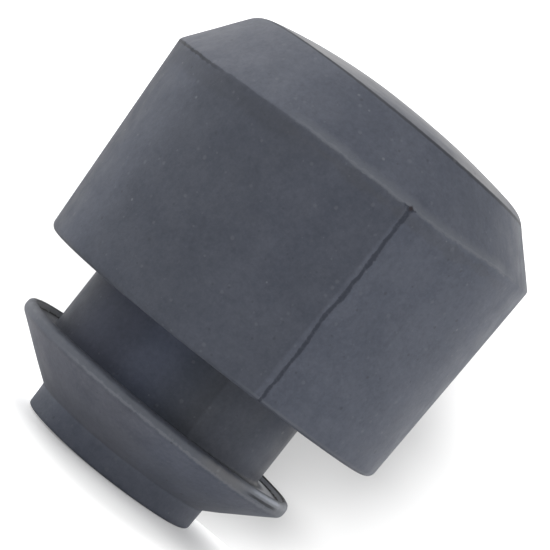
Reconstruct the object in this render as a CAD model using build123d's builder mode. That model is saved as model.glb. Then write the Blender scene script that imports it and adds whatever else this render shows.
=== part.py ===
from build123d import *
from math import atan2, degrees
import os

os.makedirs("parts", exist_ok=True)

# A plug-in rubber damper, moulded in one piece: a short nose and a barbed skirt
# that squeeze through a round hole, a neck that the plate grips, and a solid
# head that takes the knocks. Millimetres; +Z runs from the nose to the crown and
# the origin is the middle of the flat nose end, on the axis of the nose and neck.
# Heights are stacked from the nose up, each one measured from the form below it.

# nose: the short plug that enters the hole first
NOSE_END_RADIUS = 7.1
NOSE_HEIGHT = 1.75
NOSE_DRAFT = 0.05
NOSE_CHAMFER = 0.4

# skirt and lip: the barb that springs out behind the plate
SKIRT_HEIGHT = 3.3
LIP_RADIUS = 11.65
LIP_HEIGHT = 0.9
LIP_WIDTH = 0.6
LIP_CHAMFER = 0.2

# recess: the shallow dish between the lip and the neck
RECESS_DEPTH = 0.45
RECESS_WALL_DRAFT = 0.2

# neck: the waist that the plate's hole closes round
NECK_RADIUS = 9.0
PLATE_GAP = 4.75
NECK_CHAMFER = 0.2

# head: the buffer itself, a little wider at its rim than underneath
HEAD_UNDER_RADIUS = 14.2
HEAD_CORNER = 0.6
HEAD_SIDE_HEIGHT = 15.9
RIM_RADIUS = 15.0
RIM_ROUND = 0.2
BEVEL_WIDTH = 3.45
BEVEL_HEIGHT = 4.45
CROWN_EDGE_ROUND = 2.0
CROWN_RISE = 1.6
# the head came out of its mould this far off the axis of the neck
HEAD_OFFSET = 0.45

# seams: the two shallow lines that the halves of the mould left down the head
SEAM_AZIMUTH = -71.9
SEAM_RADIUS = 0.13
SEAM_OVERRUN = 0.3

nose_root_radius = NOSE_END_RADIUS + NOSE_DRAFT
lip_edge_z = NOSE_HEIGHT + SKIRT_HEIGHT
lip_top_z = lip_edge_z + LIP_HEIGHT
lip_inner_radius = LIP_RADIUS - LIP_WIDTH
recess_radius = lip_inner_radius - RECESS_WALL_DRAFT
recess_floor_z = lip_top_z - RECESS_DEPTH
head_under_z = lip_top_z + PLATE_GAP
rim_z = head_under_z + HEAD_SIDE_HEIGHT
crown_edge_radius = RIM_RADIUS - BEVEL_WIDTH
crown_edge_z = rim_z + BEVEL_HEIGHT
crown_top_z = crown_edge_z + CROWN_RISE

head_taper = degrees(atan2(RIM_RADIUS - HEAD_UNDER_RADIUS, HEAD_SIDE_HEIGHT))
head_profile = Plane(origin=(HEAD_OFFSET, 0, 0), x_dir=(1, 0, 0), z_dir=(0, -1, 0))
head_axis = Axis((HEAD_OFFSET, 0, 0), (0, 0, 1))


def corner_at(x, z):
    """The corner of the sketch being drawn that lies nearest to (x, z)."""
    return vertices().sort_by_distance((x, z))[0]


with BuildPart() as damper:
    # nose, skirt, lip, recess and neck: one turned shape about the neck's axis
    with BuildSketch(Plane.XZ):
        with BuildLine():
            Polyline(
                (0, 0),
                (NOSE_END_RADIUS, 0),
                (nose_root_radius, NOSE_HEIGHT),
                (LIP_RADIUS, lip_edge_z),
                (LIP_RADIUS, lip_top_z),
                (lip_inner_radius, lip_top_z),
                (recess_radius, recess_floor_z),
                (NECK_RADIUS, recess_floor_z),
                (NECK_RADIUS, head_under_z),
                (0, head_under_z),
                close=True,
            )
        make_face()
        chamfer(corner_at(NOSE_END_RADIUS, 0), NOSE_CHAMFER)
        chamfer(corner_at(LIP_RADIUS, lip_top_z), LIP_CHAMFER)
        chamfer(corner_at(NECK_RADIUS, recess_floor_z), NECK_CHAMFER)
    revolve(axis=Axis.Z)

    # head: tapered side, bevel and low domed crown about its own, shifted axis
    with BuildSketch(head_profile):
        with BuildLine():
            Polyline(
                (0, crown_top_z),
                (0, head_under_z),
                (HEAD_UNDER_RADIUS, head_under_z),
                (RIM_RADIUS, rim_z),
                (crown_edge_radius, crown_edge_z),
            )
            TangentArc((0, crown_top_z), (crown_edge_radius, crown_edge_z), tangent=(1, 0))
        make_face()
        fillet(corner_at(HEAD_UNDER_RADIUS, head_under_z), HEAD_CORNER)
        fillet(corner_at(RIM_RADIUS, rim_z), RIM_ROUND)
        fillet(corner_at(crown_edge_radius, crown_edge_z), CROWN_EDGE_ROUND)
    revolve(axis=head_axis)

    # a small splay where the neck meets the flat underside of the head
    neck_top = edges().filter_by(GeomType.CIRCLE).sort_by_distance((0, 0, head_under_z))
    chamfer(neck_top.filter_by(lambda edge: abs(edge.radius - NECK_RADIUS) < 0.01)[0], NECK_CHAMFER)

    # mould seams: half-round hollows that follow the taper of the head's side
    with Locations((HEAD_OFFSET, 0, head_under_z)):
        with PolarLocations(HEAD_UNDER_RADIUS, 2, start_angle=SEAM_AZIMUTH):
            with Locations(Location((0, 0, 0), (0, head_taper, 0))):
                with Locations((0, 0, HEAD_CORNER)):
                    Cylinder(
                        SEAM_RADIUS,
                        HEAD_SIDE_HEIGHT - HEAD_CORNER + SEAM_OVERRUN,
                        align=(Align.CENTER, Align.CENTER, Align.MIN),
                        mode=Mode.SUBTRACT,
                    )

damper.part.label = "damper"
export_step(damper.part, "parts/damper.step")
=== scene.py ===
# A moulded rubber damper that plugs into a plate: nose, barbed lip, neck, thick head.
# The one rubber piece is a fine turned surface over the imported solid. It adds what one
# moulding and its use left: a leaning rim, ragged seams, nicks, dents, wear and dirt.
# Its finish also paints light and shade into the colour.

import logging
import math
from dataclasses import dataclass, field
from enum import IntEnum

import bpy
import numpy as np
from mathutils import Matrix, Vector


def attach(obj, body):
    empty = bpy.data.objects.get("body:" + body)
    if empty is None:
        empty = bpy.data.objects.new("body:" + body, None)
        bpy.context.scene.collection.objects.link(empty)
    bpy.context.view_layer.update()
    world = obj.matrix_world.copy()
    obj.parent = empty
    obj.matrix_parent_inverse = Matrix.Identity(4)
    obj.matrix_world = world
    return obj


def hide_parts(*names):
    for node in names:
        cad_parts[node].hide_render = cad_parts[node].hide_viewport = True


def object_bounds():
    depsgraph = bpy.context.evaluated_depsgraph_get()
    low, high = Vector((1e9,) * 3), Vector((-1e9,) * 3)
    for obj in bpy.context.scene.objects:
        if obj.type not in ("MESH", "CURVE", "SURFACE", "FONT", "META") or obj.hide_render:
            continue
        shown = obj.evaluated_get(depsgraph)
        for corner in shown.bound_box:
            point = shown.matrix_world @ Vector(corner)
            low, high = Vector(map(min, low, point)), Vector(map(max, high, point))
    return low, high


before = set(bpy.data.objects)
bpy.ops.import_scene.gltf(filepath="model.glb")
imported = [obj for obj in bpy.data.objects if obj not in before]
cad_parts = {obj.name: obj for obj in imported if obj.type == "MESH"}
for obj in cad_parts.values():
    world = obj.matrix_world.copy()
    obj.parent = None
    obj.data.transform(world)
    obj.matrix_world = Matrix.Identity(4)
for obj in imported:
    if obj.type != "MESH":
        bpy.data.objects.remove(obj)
CAD_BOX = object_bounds()

MM = 0.001
log = logging.getLogger("damper")

Colour = tuple[float, float, float]
Point = tuple[float, float, float]
Layer = tuple[float, int, int]
Stretch = tuple[float, float]


# ---------------------------------------------------------------- shared helpers


def eased(value: np.ndarray, start: float, end: float) -> np.ndarray:
    """Smooth step: 0 before start, 1 after end, 3t^2 - 2t^3 between."""
    share = np.clip((value - start) / (end - start), 0.0, 1.0)
    return share * share * (3.0 - 2.0 * share)


def bell(away: np.ndarray, size: float | np.ndarray, power: int = 2) -> np.ndarray:
    """Bell curve exp(-(away / size)^power): 1 in the middle, 0.37 at the size."""
    return np.exp(-((away / size) ** power))


def wrapped(angle: float | np.ndarray) -> float | np.ndarray:
    """The same angle between minus and plus half a turn, radians."""
    return (angle + math.pi) % (2.0 * math.pi) - math.pi


def lattice_noise(place: np.ndarray, cells: int, seed: int) -> np.ndarray:
    """Value noise on a closed line.

    Seeded values stand at the corners of equal cells, and between two corners
    the value eases from one to the other by 3t^2 - 2t^3.

    Args:
        place: position along the line, where 1 is once round.
        cells: number of cells round the line.
        seed: seed of the values.

    Returns:
        Values from -1 to 1, in the shape of place.
    """
    corners = np.random.default_rng(seed).uniform(-1.0, 1.0, cells)
    cell = np.asarray(place) * cells
    low = np.floor(cell).astype(int)
    share = eased(cell - low, 0.0, 1.0)
    return corners[low % cells] * (1.0 - share) + corners[(low + 1) % cells] * share


def layered_noise(place: np.ndarray, layers: tuple[Layer, ...]) -> np.ndarray:
    """Sum of value noises, each given by its height, its number of cells and its seed."""
    return sum(height * lattice_noise(place, cells, seed) for height, cells, seed in layers)


def put(name: str, data: bpy.types.ID) -> bpy.types.Object:
    """Makes an object of its data and puts it in the scene."""
    made = bpy.data.objects.new(name, data)
    bpy.context.scene.collection.objects.link(made)
    return made


@dataclass(frozen=True)
class Corner:
    """One corner of a turned profile, in millimetres.

    Attributes:
        radius: distance from the axis.
        height: height above the nose end.
        rounding: radius of the arc that replaces the corner, 0 for none.
        spacing: largest gap between rings on the straight run that leads here.
        arc_rings: number of steps across the rounding.
    """

    radius: float
    height: float
    rounding: float = 0.0
    spacing: float = 1.0
    arc_rings: int = 5

    def arc(self, before: np.ndarray, after: np.ndarray) -> np.ndarray:
        """Samples the arc that rounds the corner.

        An arc of radius R touches both runs at R / tan(half the inner angle) from
        the corner, and its centre lies on the inner bisector.

        Args:
            before: a point on the run that leads here.
            after: a point on the run that leads on.

        Returns:
            (radius, height) rows, or the one corner where nothing is rounded.
        """
        here = np.array([self.radius, self.height])
        if self.rounding == 0.0:
            return here[None, :]
        back = (before - here) / np.linalg.norm(before - here)
        ahead = (after - here) / np.linalg.norm(after - here)
        half = 0.5 * math.acos(float(np.clip(back @ ahead, -1.0, 1.0)))
        reach = self.rounding / math.tan(half)
        bisector = (back + ahead) / np.linalg.norm(back + ahead)
        centre = here + bisector * self.rounding / math.sin(half)
        first = here + back * reach - centre
        last = here + ahead * reach - centre
        begin = math.atan2(first[1], first[0])
        turn = wrapped(math.atan2(last[1], last[0]) - begin)
        angles = begin + turn * np.linspace(0.0, 1.0, self.arc_rings + 1)
        return centre + self.rounding * np.column_stack((np.cos(angles), np.sin(angles)))


def rounded_profile(corners: list[Corner]) -> tuple[np.ndarray, np.ndarray]:
    """Samples a profile of straight runs joined by tangent arcs.

    Args:
        corners: the profile's corners from the nose end up; the last isn't rounded.

    Returns:
        The samples as (radius, height) rows, and for each corner the distance
        along the profile at which it stands.
    """
    places = np.array([(corner.radius, corner.height) for corner in corners])
    samples = [places[:1]]
    marks = [0.0]
    length = 0.0
    for index, corner in enumerate(corners[1:], start=1):
        start = samples[-1][-1]
        arc = corner.arc(start, places[min(index + 1, len(corners) - 1)])
        run = float(np.linalg.norm(arc[0] - start))
        steps = max(1, math.ceil(run / corner.spacing))
        share = np.linspace(0.0, 1.0, steps + 1)[1:, None]
        samples.append(np.concatenate((start + share * (arc[0] - start), arc[1:])))
        bend = arc_length(arc)[-1]
        length += run
        marks.append(length + 0.5 * bend)
        length += bend
    return np.concatenate(samples), np.array(marks)


def arc_length(profile: np.ndarray) -> np.ndarray:
    """Distance along a sampled profile at each sample."""
    steps = np.linalg.norm(np.diff(profile, axis=0), axis=1)
    return np.concatenate(([0.0], np.cumsum(steps)))


# ---------------------------------------------------------------- the rubber's forms


class Mark(IntEnum):
    """Corners of the profile that other code refers to, by their place in the list."""

    NOSE_END = 1
    NOSE_ROOT = 2
    LIP_EDGE = 3
    LIP_TOP = 4
    LIP_INNER = 5
    RECESS_FOOT = 6
    NECK_FOOT = 7
    NECK_TOP = 8
    HEAD_CORNER = 9
    RIM = 10
    CROWN_EDGE = 11


@dataclass(frozen=True)
class Grid:
    """The turned skin before wear: rings of the profile by columns round the axis. Millimetres.

    Radius, height and reach, the distance along the profile, are one column each.
    The angle is one row, in radians. The slope is the profile's direction at each
    ring, and the marks are the reach of each corner.
    """

    radius: np.ndarray
    height: np.ndarray
    reach: np.ndarray
    slope: np.ndarray
    marks: np.ndarray
    angle: np.ndarray

    @property
    def turn(self) -> np.ndarray:
        """Azimuth of each column in turns."""
        return self.angle / (2.0 * math.pi)

    def past(self, mark: Mark) -> np.ndarray:
        """Distance of each ring past a corner."""
        return self.reach - self.marks[mark]

    def ramp(self, start: Mark, end: Mark, beyond: Stretch = (0.0, 0.0)) -> np.ndarray:
        """Smooth step from one corner to another, moved past each by as much as beyond says."""
        return eased(self.reach, self.marks[start] + beyond[0], self.marks[end] + beyond[1])


@dataclass(frozen=True)
class Plug:
    """The lower half: nose, skirt, lip, recess and neck, all about the neck's axis. Millimetres.

    Shifts are to the right of the axis, and the lip's lean is its drop for each mm to
    the right. The nose's end lifts on its left, and the skirt sags on its right.

    Attributes:
        waist_ends: how far past the neck's foot the neck's shift is full.
        nose_lift_from: how far past the nose's end its lift starts to fade.
        skirt_sag_in: how far past the nose's root the sag starts and is full.
    """

    nose_end_radius: float = 7.1
    nose_height: float = 1.75
    nose_draft: float = 0.05
    skirt_height: float = 3.3
    lip_radius: float = 11.65
    lip_height: float = 0.9
    lip_width: float = 0.6
    recess_depth: float = 0.45
    recess_wall_draft: float = 0.2
    neck_radius: float = 9.0
    plate_gap: float = 4.75
    lip_shift: float = 0.09
    lip_lean: float = 0.0145
    neck_shift: float = -0.08
    waist_ends: float = -0.3
    nose_lift: float = 0.13
    nose_lift_from: float = 0.6
    skirt_sag: float = 0.12
    skirt_sag_in: Stretch = (-0.3, 1.5)

    @property
    def lip_edge(self) -> float:
        """Height of the lip's lower edge."""
        return self.nose_height + self.skirt_height

    @property
    def lip_top(self) -> float:
        """Height of the lip's top."""
        return self.lip_edge + self.lip_height

    @property
    def neck_top(self) -> float:
        """Height at which the neck meets the head."""
        return self.lip_top + self.plate_gap

    def corners(self) -> list[Corner]:
        """Profile from the middle of the nose end to the top of the neck."""
        root = self.nose_end_radius + self.nose_draft
        inner = self.lip_radius - self.lip_width
        floor = self.lip_top - self.recess_depth
        return [
            Corner(0.0, 0.0),
            Corner(self.nose_end_radius, 0.0, 0.24, 1.1, 6),
            Corner(root, self.nose_height, 0.2, 0.35, 4),
            Corner(self.lip_radius, self.lip_edge, 0.6, 0.45, 6),
            Corner(self.lip_radius, self.lip_top, 0.42, 0.2, 7),
            Corner(inner, self.lip_top, 0.12, 0.2, 3),
            Corner(inner - self.recess_wall_draft, floor, 0.1, 0.2, 3),
            Corner(self.neck_radius, floor, 0.3, 0.4, 4),
            Corner(self.neck_radius, self.neck_top, 0.25, 0.3, 4),
        ]

    def waist(self, grid: Grid) -> np.ndarray:
        """Share of the neck's shift that each ring has."""
        return grid.ramp(Mark.LIP_INNER, Mark.NECK_FOOT, (0.0, self.waist_ends))

    def flare(self, grid: Grid) -> np.ndarray:
        """Share of the lip's shift and lean that each ring has."""
        return grid.ramp(Mark.NOSE_ROOT, Mark.LIP_EDGE) * (1.0 - self.waist(grid))

    def lift(self, grid: Grid) -> np.ndarray:
        """How far each point rises: the nose's lift, less the lip's lean and the skirt's sag."""
        east = np.cos(grid.angle)
        nose = 1.0 - grid.ramp(Mark.NOSE_END, Mark.LIP_EDGE, (self.nose_lift_from, 0.0))
        raised = self.nose_lift * eased(-grid.radius * east, 0.0, self.nose_end_radius) * nose
        skirt = grid.ramp(Mark.NOSE_ROOT, Mark.NOSE_ROOT, self.skirt_sag_in)
        skirt = skirt * (1.0 - grid.ramp(Mark.LIP_EDGE, Mark.LIP_TOP))
        sagged = self.skirt_sag * skirt * np.clip(east, 0.0, 1.0)
        return raised - sagged - self.lip_lean * grid.radius * east * self.flare(grid)


@dataclass(frozen=True)
class Head:
    """The upper half: flat underside, tapered side, bevel and low crown. Millimetres and degrees.

    Offsets and the crown's shift are to the right. A lean is the middle's lift, then
    its rise for each mm to the right and to the back. The rim wanders by noise and
    sags beside the seam.

    Attributes:
        crown_span: shares of the crown's edge radius at which its first and last ring stand.
        under_run: how far before its edge the underside has reached its offset.
        wander_reach: how far from the rim its wander and sag have faded to 0.37.
        sag_half_width: how far from its deepest the sag has faded to 0.37.
    """

    under_radius: float = 14.2
    side_height: float = 15.9
    rim_radius: float = 15.0
    bevel_width: float = 3.45
    bevel_height: float = 4.45
    crown_rise: float = 1.6
    crown_rings: int = 16
    crown_span: Stretch = (0.92, 0.03)
    rim_rounding: float = 0.36
    crown_rounding: float = 2.0
    offset: float = 0.45
    under_offset: float = 0.7
    under_run: float = 0.9
    rim_lean: Point = (0.56, 0.0373, 0.0373)
    crown_lean: Point = (0.25, 0.014, -0.008)
    crown_shift: float = -0.11
    wander: tuple[Layer, ...] = ((0.05, 17, 21), (0.035, 61, 22), (0.03, 137, 23))
    wander_reach: float = 2.2
    sag_depth: float = 0.24
    sag_azimuth: float = -61.0
    sag_half_width: float = 15.0

    def corners(self, base: float) -> list[Corner]:
        """Profile from the underside's edge to the crown's edge.

        Args:
            base: height of the underside.
        """
        rim = base + self.side_height
        return [
            Corner(self.under_radius, base, 0.6, 0.7, 8),
            Corner(self.rim_radius, rim, self.rim_rounding, 0.18, 6),
            Corner(self.crown_edge_radius, rim + self.bevel_height, self.crown_rounding, 0.36, 12),
        ]

    @property
    def crown_edge_radius(self) -> float:
        """Radius of the edge between bevel and crown."""
        return self.rim_radius - self.bevel_width

    def crown(self, edge_height: float) -> np.ndarray:
        """Samples the low dome: a circle's arc through the edge, level at the axis.

        Args:
            edge_height: height of the crown's edge.

        Returns:
            (radius, height) rows from just inside the edge to just off the axis.
        """
        edge = self.crown_edge_radius
        ball = (edge**2 + self.crown_rise**2) / (2.0 * self.crown_rise)
        radius = edge * np.linspace(*self.crown_span, self.crown_rings)
        height = edge_height + self.crown_rise - ball + np.sqrt(ball**2 - radius**2)
        return np.column_stack((radius, height))

    def bevelled(self, grid: Grid, base: float) -> np.ndarray:
        """Share of the way from the rim to the crown's edge, by height."""
        return np.clip((grid.height - base - self.side_height) / self.bevel_height, 0.0, 1.0)

    def lift(self, grid: Grid, base: float, rise: np.ndarray) -> np.ndarray:
        """How far each point rises: the lean, which grows up the side, and the rim's wander.

        Args:
            grid: the turned skin.
            base: height of the underside.
            rise: share of the way from the underside to the rim.
        """
        bevelled = self.bevelled(grid, base)
        lift, slope_x, slope_y = (
            low + (high - low) * bevelled for low, high in zip(self.rim_lean, self.crown_lean)
        )
        inside = np.minimum(1.0, grid.radius / self.crown_edge_radius) ** 2
        slope = slope_x * np.cos(grid.angle) + slope_y * np.sin(grid.angle)
        lean = np.where(bevelled < 1.0, rise, inside) * (lift + grid.radius * slope)
        away = (grid.turn - self.sag_azimuth / 360.0 + 0.5) % 1.0 - 0.5
        sag = self.sag_depth * bell(away * 360.0, self.sag_half_width)
        wander = layered_noise(grid.turn, self.wander) - sag
        return lean + wander * bell(grid.past(Mark.RIM), self.wander_reach)


@dataclass(frozen=True)
class Seam:
    """The pair of ragged lines that the halves of the mould left down the head. Millimetres.

    Attributes:
        flared: how much wider a line gets above the share flares_from of its height.
        run_in: where a line starts, past the head's lower corner.
        run_out: where it ends, past the rim.
        bed: plain share of the depth, and the share that varies along the line.
        bed_noise: number of cells and seed of the noise that the depth follows.
        wander: how far a line strays, and how much a finer noise adds to that.
        wander_cells: numbers of cells of those two noises.
        swelling: share of the width that varies along the line.
        swell_cells: number of cells of the noise that it follows.
        stretch: how much of the noise's line the seam's height takes up.
        seeds: first seed of each line's noise.
        fan_half_angle: half the angle of the fan of fine columns across a line, degrees.
    """

    azimuth: float = -71.9
    half_width_low: float = 0.13
    half_width_high: float = 0.19
    flared: float = 0.3
    flares_from: float = 0.978
    run_in: Stretch = (-0.9, -0.2)
    run_out: Stretch = (0.0, 0.12)
    depth: float = 0.06
    bed: Stretch = (0.75, 0.25)
    bed_noise: tuple[int, int] = (38, 71)
    wander: Stretch = (0.10, 0.35)
    wander_cells: tuple[int, int] = (8, 31)
    swelling: float = 0.28
    swell_cells: int = 46
    stretch: float = 0.9
    seeds: tuple[int, int] = (40, 50)
    fan_half_angle: float = 2.2
    fan_columns: int = 24

    def angles(self) -> tuple[float, float]:
        """Azimuths of the two lines, in radians."""
        first = math.radians(self.azimuth)
        return first, first + math.pi

    def columns(self, total: int) -> np.ndarray:
        """Angles of the mesh's columns, even but for a fine fan across each line.

        Args:
            total: number of columns.
        """
        fan = math.radians(self.fan_half_angle)
        between = (total - 2 * self.fan_columns) // 2
        parts = []
        for line in self.angles():
            parts.append(np.linspace(line - fan, line + fan, self.fan_columns, endpoint=False))
            parts.append(np.linspace(line + fan, line + math.pi - fan, between, endpoint=False))
        return np.concatenate(parts)

    def closeness(self, grid: Grid, rise: np.ndarray) -> np.ndarray:
        """How deep in a line each point lies: 1 on its bed, 0 outside.

        The distance across the line is the angle from its wandering middle times
        the radius. Divided by the line's half width, which swells and shrinks
        along it, it gives exp(-q^4).

        Args:
            grid: the turned skin.
            rise: share of the way from the underside to the rim, 0 to 1.
        """
        closest = np.zeros((len(grid.radius), grid.angle.size))
        place = rise * self.stretch
        for seed, line in zip(self.seeds, self.angles()):
            slow, fine = self.wander_cells
            strayed = layered_noise(place, ((1.0, slow, seed), (self.wander[1], fine, seed + 1)))
            width = self.half_width_low + (self.half_width_high - self.half_width_low) * rise
            width = width * (1.0 + self.swelling * lattice_noise(place, self.swell_cells, seed + 2))
            width = width + self.flared * eased(rise, self.flares_from, 1.0)
            across = wrapped(grid.angle - line) * grid.radius - self.wander[0] * strayed
            closest = np.maximum(closest, bell(across, width, 4))
        starts = grid.ramp(Mark.HEAD_CORNER, Mark.HEAD_CORNER, self.run_in)
        return closest * starts * (1.0 - grid.ramp(Mark.RIM, Mark.RIM, self.run_out))

    def depths(self, closeness: np.ndarray, rise: np.ndarray) -> np.ndarray:
        """Depth of each point in a line."""
        return self.depth * (self.bed[0] + self.bed[1] * lattice_noise(rise, *self.bed_noise)) * closeness


@dataclass(frozen=True)
class Nicks:
    """Bites all along an edge, and deeper chips where the noise is higher than rare. Millimetres.

    The bites' noise takes the seed, and the chips' noise the next one. Both fade with
    the distance from the edge, to 0.37 at the reach.
    """

    mark: Mark
    bite: float
    bites: int
    chip: float
    chips: int
    rare: float
    reach: float
    seed: int

    def depths(self, grid: Grid) -> np.ndarray:
        """Depth of the nicks at each point."""
        bites = 0.5 + 0.5 * lattice_noise(grid.turn, self.bites, self.seed)
        chips = np.clip(lattice_noise(grid.turn, self.chips, self.seed + 1) - self.rare, 0.0, 1.0)
        return (self.bite * bites + self.chip * chips) * bell(grid.past(self.mark), self.reach)


@dataclass(frozen=True)
class Dents:
    """Shallow round dents scattered over the whole skin, and its slow waves. Millimetres.

    Attributes:
        margin: distance along the profile kept free of dents' middles at both ends.
        sizes: smallest and largest distance from its middle at which a dent has faded to 0.37.
        depths: smallest and largest depth.
        wave: a quarter of the waves' greatest depth.
        round_waves: number of cells and seed of their noise round the ring.
        long_waves: the same along the profile.
        sway: how the waves round the ring stray along the profile, in turns.
    """

    count: int = 46
    seed: int = 5
    margin: float = 4.0
    sizes: Stretch = (0.25, 0.8)
    depths: Stretch = (0.008, 0.03)
    wave: float = 0.012
    round_waves: tuple[int, int] = (13, 51)
    long_waves: tuple[int, int] = (11, 52)
    sway: Layer = (0.02, 9, 53)

    def pressed(self, grid: Grid) -> np.ndarray:
        """Depth of the dents: bells of the distance round the ring and along the profile."""
        chance = np.random.default_rng(self.seed)
        length = float(grid.reach.max())
        spans = ((0.0, 2.0 * math.pi), (self.margin, length - self.margin), self.sizes, self.depths)
        total = np.zeros((len(grid.radius), grid.angle.size))
        for place, along, size, depth in zip(*[chance.uniform(*span, self.count) for span in spans]):
            round_way = wrapped(grid.angle - place) * grid.radius
            total += depth * np.exp(-(round_way**2 + (grid.reach - along) ** 2) / size**2)
        return total

    def waves(self, grid: Grid) -> np.ndarray:
        """Depth of the slow waves: products of noise round the ring and noise along the profile."""
        place = grid.reach / float(grid.reach.max())
        round_way = lattice_noise(grid.turn + layered_noise(place, (self.sway,)), *self.round_waves)
        return self.wave * (2.0 + round_way + round_way * lattice_noise(place, *self.long_waves))


@dataclass
class Damper:
    """The whole rubber piece, turned from the plug's and the head's profiles.

    Attributes:
        nicks: the nicks of the rim and of the lip's crest.
        dents: the dents and slow waves of the skin.
        columns: number of mesh columns round the axis.
        node: CAD node that the piece stands for.
        slot: name of a material slot; not used.
    """

    plug: Plug = field(default_factory=Plug)
    head: Head = field(default_factory=Head)
    seam: Seam = field(default_factory=Seam)
    nicks: tuple[Nicks, ...] = (
        Nicks(Mark.RIM, bite=0.035, bites=390, chip=0.12, chips=120, rare=0.35, reach=0.14, seed=11),
        Nicks(Mark.LIP_TOP, bite=0.03, bites=160, chip=0.09, chips=70, rare=0.3, reach=0.25, seed=31),
    )
    dents: Dents = field(default_factory=Dents)
    columns: int = 428
    name: str = "damper_rubber"
    node: str = "damper"
    slot: str = "rubber"

    def profile(self) -> tuple[np.ndarray, np.ndarray]:
        """Radius and height of each ring, and the distance along the profile of each corner."""
        corners = self.plug.corners() + self.head.corners(self.plug.neck_top)
        crown = self.head.crown(corners[-1].height)
        lead = Corner(float(crown[0, 0]), float(crown[0, 1]), spacing=0.3)
        rings, marks = rounded_profile(corners + [lead])
        return np.concatenate((rings, crown[1:])), marks

    def grid(self) -> Grid:
        """The turned skin, without the ring of no size in the middle of the nose end."""
        rings, marks = self.profile()
        slope = np.gradient(rings, axis=0)[1:]
        return Grid(
            radius=rings[1:, :1],
            height=rings[1:, 1:],
            reach=arc_length(rings)[1:, None],
            slope=slope / np.linalg.norm(slope, axis=1)[:, None],
            marks=marks,
            angle=self.seam.columns(self.columns)[None, :],
        )

    def surface(self) -> dict[str, np.ndarray]:
        """Works out the skin as whole arrays.

        A ring of the profile is a circle of radius r at height z. Each point is
        moved inwards along the profile's normal by the seams, the nicks, the dents
        and the slow waves. Then the rings' middles shift and lean as the plug and
        the head do.

        Returns:
            x, y, z, the distance along the profile, and the seams' closeness, each
            as an array of rings by columns.
        """
        grid = self.grid()
        base = self.plug.neck_top
        rise = np.clip((grid.height - base) / self.head.side_height, 0.0, 1.0)
        seam = self.seam.closeness(grid, rise)
        depth = self.seam.depths(seam, rise)
        for nicks in self.nicks:
            depth = depth + nicks.depths(grid)
        depth = depth + self.dents.pressed(grid) + self.dents.waves(grid)
        outward = grid.radius - grid.slope[:, 1:] * depth
        lift = self.head.lift(grid, base, rise) + self.plug.lift(grid)
        return {
            "x": self._middle(grid, rise) + outward * np.cos(grid.angle),
            "y": outward * np.sin(grid.angle),
            "z": grid.height + grid.slope[:, :1] * depth + lift,
            "along": np.broadcast_to(grid.reach, seam.shape),
            "seam": seam,
        }

    def _middle(self, grid: Grid, rise: np.ndarray) -> np.ndarray:
        """How far to the right each ring's middle stands; it moves over on the flat underside."""
        plug, head = self.plug, self.head
        to_head = grid.ramp(Mark.NECK_TOP, Mark.HEAD_CORNER, (0.0, -head.under_run))
        headed = head.under_offset + (head.offset - head.under_offset) * rise
        crown = head.crown_shift * eased(head.bevelled(grid, plug.neck_top), 0.0, 1.0)
        neck = plug.neck_shift * plug.waist(grid) * (1.0 - to_head)
        return neck + headed * to_head + plug.lip_shift * plug.flare(grid) + crown

    def build(self) -> bpy.types.Object:
        """Makes the mesh, its attributes and its object.

        Returns:
            The rubber piece, in metres, with its place in its mesh.
        """
        skin = self.surface()
        rows, cols = skin["x"].shape
        points = np.stack((skin["x"], skin["y"], skin["z"]), axis=-1).reshape(-1, 3)
        low_pole = (0.0, 0.0, skin["z"][0].mean())
        high_pole = (self.head.offset, 0.0, skin["z"][-1].mean())
        points = np.concatenate((points, [low_pole, high_pole])) * MM
        ring = np.arange(rows - 1)[:, None] * cols
        here = np.arange(cols)[None, :]
        after = (here + 1) % cols
        quads = np.stack((ring + here, ring + after, ring + cols + after, ring + cols + here), axis=-1)
        last = (rows - 1) * cols
        pole = np.full(cols, rows * cols)
        foot = np.stack((after[0], here[0], pole), axis=-1)
        top = np.stack((last + here[0], last + after[0], pole + 1), axis=-1)

        mesh = bpy.data.meshes.new(self.name)
        mesh.from_pydata(points.tolist(), [], quads.reshape(-1, 4).tolist() + foot.tolist() + top.tolist())
        for name in ("along", "seam"):
            values = np.concatenate((skin[name].ravel(), [skin[name][0].mean(), skin[name][-1].mean()]))
            layer = mesh.attributes.new(name, "FLOAT", "POINT")
            layer.data.foreach_set("value", values.astype(np.float32))
        mesh.polygons.foreach_set("use_smooth", np.ones(len(mesh.polygons), dtype=bool))
        mesh.validate()
        mesh.update()
        return put(self.name, mesh)

    def seam_top(self) -> Point:
        """Where the front mould line meets the rim, metres: the skin's point nearest to both."""
        skin = self.surface()
        grid = self.grid()
        row = int(np.argmin(np.abs(grid.past(Mark.RIM))))
        column = int(np.argmin(np.abs(grid.angle - self.seam.angles()[0])))
        return tuple(float(skin[name][row, column]) * MM for name in ("x", "y", "z"))

    def dress(self, piece: bpy.types.Object) -> None:
        """Gives the piece its finish and its place in the frame."""
        finish = MouldedRubber(
            marks=self.grid().marks,
            seam_azimuth=self.seam.azimuth,
            axis_x=self.head.offset,
            scab_place=self.seam_top(),
        )
        piece.data.materials.append(finish.material())
        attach(piece, "root")
        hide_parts(self.node)


# ---------------------------------------------------------------- node sheets


Socket = bpy.types.NodeSocket
Feed = Socket | float | Colour
GIVES_NUMBER = ("DISTANCE", "DOT_PRODUCT", "LENGTH")


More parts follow.
